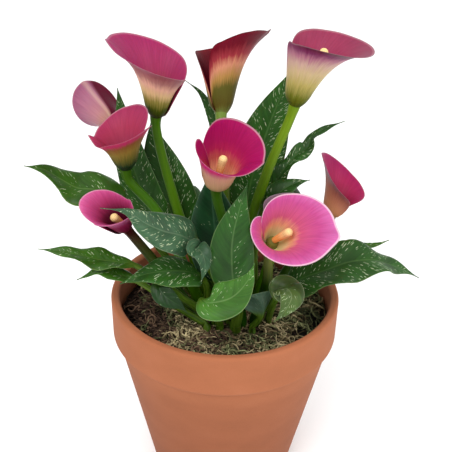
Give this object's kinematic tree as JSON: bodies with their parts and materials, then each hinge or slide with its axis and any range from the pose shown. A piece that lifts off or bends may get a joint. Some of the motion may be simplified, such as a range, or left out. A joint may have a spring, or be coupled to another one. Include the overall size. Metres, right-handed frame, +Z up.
{
  "type": "potted calla lily",
  "caption": "Calla lily in a round clay pot: funnel-shaped pink and maroon blooms on tall stems over white-flecked green leaves, with moss on the soil.",
  "frame": {"origin": "middle of the pot's underside, on the surface that the pot stands on", "axes": "+Z up, +X to the right of the picture's view and -Y towards its camera"},
  "size_m": [0.2712, 0.16, 0.3343],
  "materials": {
    "terracotta": "unglazed fired clay, matt",
    "soil": "dark compost of peat and bark, matt",
    "moss": "dry curly moss, matt",
    "tuber_skin": "brown corky skin, matt",
    "flower_stem": "smooth fleshy stem, satin",
    "spathe": "waxy flower sheet, satin",
    "spadix": "pollen covered club, matt",
    "leaf": "green blade with white flecks, satin"
  },
  "bodies": {
    "root": {"pot": "terracotta", "potting_soil": "soil", "moss_top_dressing": "moss", "tuber": "tuber_skin", "flower_stem_1": "flower_stem", "flower_stem_2": "flower_stem", "flower_stem_3": "flower_stem", "flower_stem_4": "flower_stem", "flower_stem_5": "flower_stem", "flower_stem_6": "flower_stem", "flower_stem_7": "flower_stem", "flower_stem_8": "flower_stem", "flower_stem_9": "flower_stem", "flower_stem_10": "flower_stem", "spathe_1": "spathe", "spathe_2": "spathe", "spathe_3": "spathe", "spathe_4": "spathe", "spathe_5": "spathe", "spathe_6": "spathe", "spathe_7": "spathe", "spathe_8": "spathe", "spathe_9": "spathe", "spathe_10": "spathe", "spadix_1": "spadix", "spadix_2": "spadix", "spadix_3": "spadix", "spadix_4": "spadix", "spadix_5": "spadix", "spadix_6": "spadix", "spadix_7": "spadix", "spadix_8": "spadix", "spadix_9": "spadix", "spadix_10": "spadix", "leaf_1": "leaf", "leaf_2": "leaf", "leaf_3": "leaf", "leaf_4": "leaf", "leaf_5": "leaf", "leaf_6": "leaf", "leaf_7": "leaf", "leaf_8": "leaf", "leaf_9": "leaf", "leaf_10": "leaf", "leaf_11": "leaf", "leaf_12": "leaf", "leaf_13": "leaf", "leaf_14": "leaf", "leaf_15": "leaf", "leaf_16": "leaf", "leaf_17": "leaf", "leaf_18": "leaf", "leaf_19": "leaf", "leaf_20": "leaf", "leaf_21": "leaf", "leaf_22": "leaf"}
  },
  "joints": []
}
